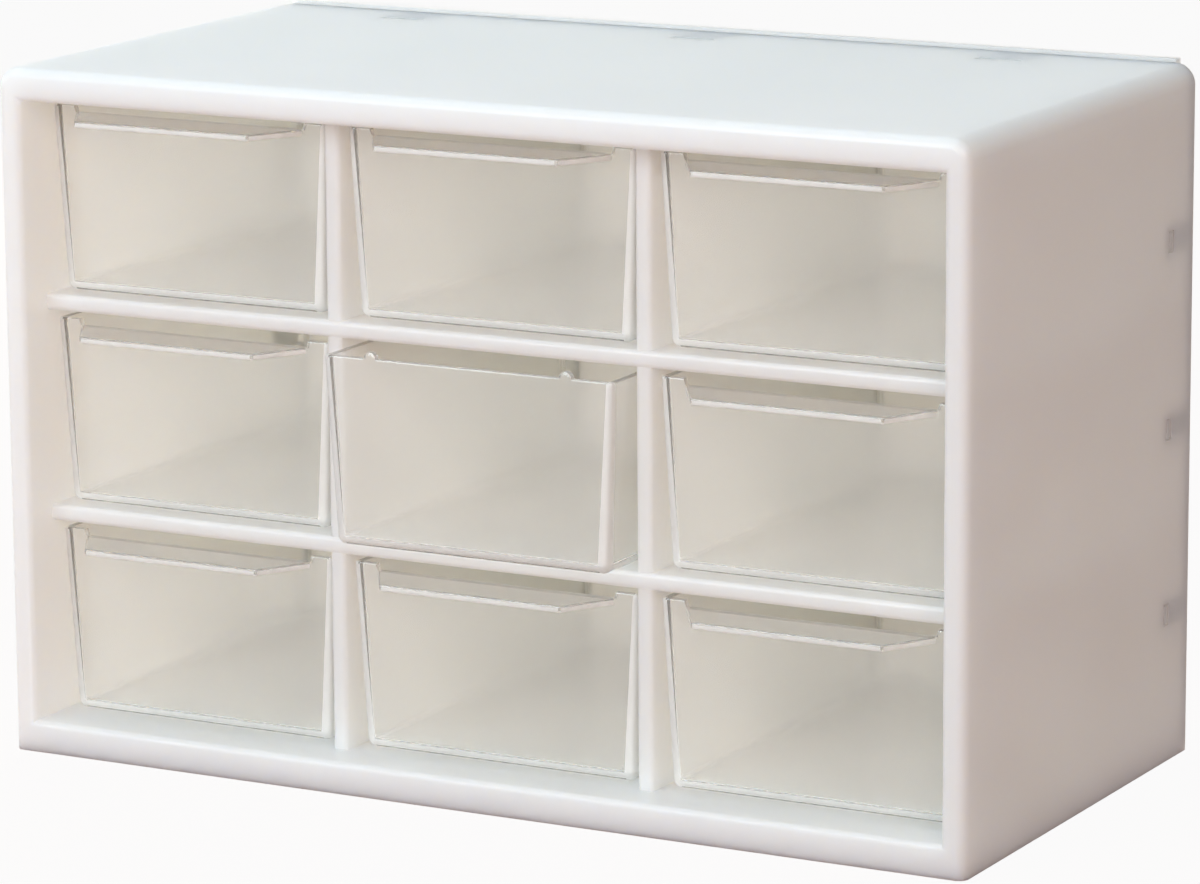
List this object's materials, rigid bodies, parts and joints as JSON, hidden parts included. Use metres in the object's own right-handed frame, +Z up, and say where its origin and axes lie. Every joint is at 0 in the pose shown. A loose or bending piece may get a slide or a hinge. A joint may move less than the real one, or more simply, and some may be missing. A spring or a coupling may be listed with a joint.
{
  "type": "desktop drawer organizer",
  "caption": "Small white desktop cabinet with a grid of clear pull-out drawers that have ledge grips, closed at the rear by a snap-fit panel; keeps small items in order.",
  "frame": {"origin": "on the supporting surface, under the middle of the cabinet's base", "axes": "+X to the right as seen from the front, +Y from the drawer fronts to the back panel, +Z up"},
  "size_m": [0.185, 0.095, 0.1226],
  "materials": {
    "white_plastic": "satin white",
    "clear_plastic": "clear, polished"
  },
  "bodies": {
    "cabinet": {"outer_shell": "white_plastic", "back_panel": "white_plastic", "lower_shelf": "white_plastic", "upper_shelf": "white_plastic", "divider_left_bottom": "white_plastic", "divider_left_middle": "white_plastic", "divider_left_top": "white_plastic", "divider_right_bottom": "white_plastic", "divider_right_middle": "white_plastic", "divider_right_top": "white_plastic"},
    "drawer_bottom_left": {"drawer_bottom_left": "clear_plastic"},
    "drawer_bottom_middle": {"drawer_bottom_middle": "clear_plastic"},
    "drawer_bottom_right": {"drawer_bottom_right": "clear_plastic"},
    "drawer_middle_left": {"drawer_middle_left": "clear_plastic"},
    "drawer_centre": {"drawer_centre": "clear_plastic"},
    "drawer_middle_right": {"drawer_middle_right": "clear_plastic"},
    "drawer_top_left": {"drawer_top_left": "clear_plastic"},
    "drawer_top_middle": {"drawer_top_middle": "clear_plastic"},
    "drawer_top_right": {"drawer_top_right": "clear_plastic"}
  },
  "joints": [
    {"name": "drawer_bottom_left_slide", "type": "slide", "parent": "cabinet", "child": "drawer_bottom_left", "axis": [0, -1, 0], "range_m": [0, 0.07]},
    {"name": "drawer_bottom_middle_slide", "type": "slide", "parent": "cabinet", "child": "drawer_bottom_middle", "axis": [0, -1, 0], "range_m": [0, 0.07]},
    {"name": "drawer_bottom_right_slide", "type": "slide", "parent": "cabinet", "child": "drawer_bottom_right", "axis": [0, -1, 0], "range_m": [0, 0.07]},
    {"name": "drawer_middle_left_slide", "type": "slide", "parent": "cabinet", "child": "drawer_middle_left", "axis": [0, -1, 0], "range_m": [0, 0.07]},
    {"name": "drawer_centre_slide", "type": "slide", "parent": "cabinet", "child": "drawer_centre", "axis": [0, -1, 0], "range_m": [0, 0.061]},
    {"name": "drawer_middle_right_slide", "type": "slide", "parent": "cabinet", "child": "drawer_middle_right", "axis": [0, -1, 0], "range_m": [0, 0.07]},
    {"name": "drawer_top_left_slide", "type": "slide", "parent": "cabinet", "child": "drawer_top_left", "axis": [0, -1, 0], "range_m": [0, 0.07]},
    {"name": "drawer_top_middle_slide", "type": "slide", "parent": "cabinet", "child": "drawer_top_middle", "axis": [0, -1, 0], "range_m": [0, 0.07]},
    {"name": "drawer_top_right_slide", "type": "slide", "parent": "cabinet", "child": "drawer_top_right", "axis": [0, -1, 0], "range_m": [0, 0.07]}
  ]
}
